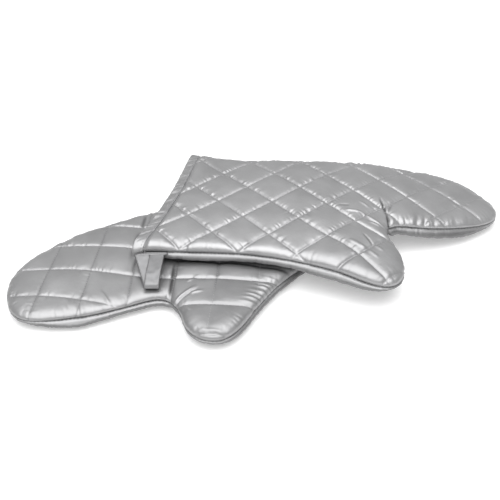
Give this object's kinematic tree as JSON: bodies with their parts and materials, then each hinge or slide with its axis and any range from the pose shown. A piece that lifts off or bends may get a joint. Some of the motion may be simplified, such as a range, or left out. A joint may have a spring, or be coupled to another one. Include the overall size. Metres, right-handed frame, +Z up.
{
  "type": "pair of oven gloves",
  "caption": "Pair of quilted, silver-faced oven mitts lying one across the other, each with a separate thumb, a bound open cuff and a tape hanging loop.",
  "frame": {"origin": "centre of the footprint of both gloves, on the surface that they lie on", "axes": "+Z up; +X roughly along the upper glove, from its cuff to its fingertips; +Y away from the two thumbs"},
  "size_m": [0.4826, 0.2984, 0.0438],
  "materials": {
    "silver_fabric": "satin, metallic sheen",
    "silver_tape": "satin, metallic sheen",
    "wadding": "matt fleece",
    "lining": "matt plain weave",
    "thread": "twisted polyester"
  },
  "bodies": {
    "lower_glove": {"lower_top_shell": "silver_fabric", "lower_top_wadding": "wadding", "lower_top_lining": "lining", "lower_under_shell": "silver_fabric", "lower_under_wadding": "wadding", "lower_under_lining": "lining", "lower_seam_allowance": "silver_fabric", "lower_cuff_binding": "silver_tape", "lower_binding_stitching": "thread", "lower_loop_tab": "silver_tape"},
    "lower_loop": {"lower_hanging_loop": "silver_tape"},
    "upper_glove": {"upper_top_shell": "silver_fabric", "upper_top_wadding": "wadding", "upper_top_lining": "lining", "upper_under_shell": "silver_fabric", "upper_under_wadding": "wadding", "upper_under_lining": "lining", "upper_seam_allowance": "silver_fabric", "upper_cuff_binding": "silver_tape", "upper_binding_stitching": "thread", "upper_loop_tab": "silver_tape"},
    "upper_loop": {"upper_hanging_loop": "silver_tape"}
  },
  "joints": [
    {"name": "upper_glove_lift", "type": "slide", "parent": "lower_glove", "child": "upper_glove", "axis": [0, 0, 1], "range_m": [0, 0.25]},
    {"name": "lower_loop_swing", "type": "hinge", "parent": "lower_glove", "child": "lower_loop", "pos_m": [0.10878, 0.01441, 0.0105], "axis": [-0.8137, -0.5813, 0], "range_deg": [0, 9]},
    {"name": "upper_loop_swing", "type": "hinge", "parent": "upper_glove", "child": "upper_loop", "pos_m": [-0.10433, -0.05135, 0.0328], "axis": [-0.9994, -0.0342, 0], "range_deg": [0, 110]}
  ]
}
